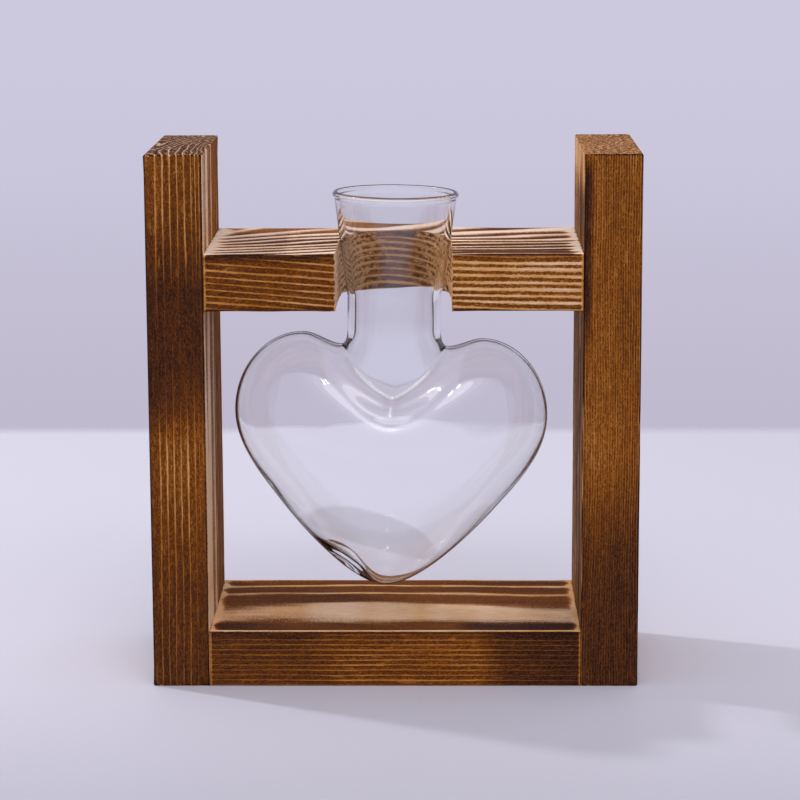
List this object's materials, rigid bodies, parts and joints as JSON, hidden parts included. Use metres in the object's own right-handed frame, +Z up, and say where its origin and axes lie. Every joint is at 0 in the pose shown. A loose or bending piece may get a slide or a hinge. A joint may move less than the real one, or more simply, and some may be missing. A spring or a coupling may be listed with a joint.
{
  "type": "hydroponic vase stand",
  "caption": "Heart-shaped clear glass vase hung by its flared neck in the front notch of a charred wooden frame with uprights, a crossbar and a base rail, for growing a cutting in water.",
  "frame": {"origin": "middle of the frame's underside, on the surface that the stand rests on", "axes": "+Z up along the uprights, +X to the right along the crossbar, +Y to the back, so the open notch faces -Y"},
  "size_m": [0.15, 0.064, 0.165],
  "materials": {
    "charred_pine": "torched and wire-brushed, satin",
    "beech_dowel": "plain, unfinished",
    "clear_glass": "clear, fire-polished"
  },
  "bodies": {
    "frame": {"left_upright": "charred_pine", "right_upright": "charred_pine", "base_rail": "charred_pine", "crossbar": "charred_pine", "base_rail_dowel_left_front": "beech_dowel", "base_rail_dowel_left_back": "beech_dowel", "base_rail_dowel_right_front": "beech_dowel", "base_rail_dowel_right_back": "beech_dowel", "crossbar_dowel_left_front": "beech_dowel", "crossbar_dowel_left_back": "beech_dowel", "crossbar_dowel_right_front": "beech_dowel", "crossbar_dowel_right_back": "beech_dowel"},
    "vase": {"heart_vase": "clear_glass"}
  },
  "joints": [
    {"name": "vase_slide_out", "type": "slide", "parent": "frame", "child": "vase", "axis": [0, -1, 0], "range_m": [0, 0.09]}
  ]
}
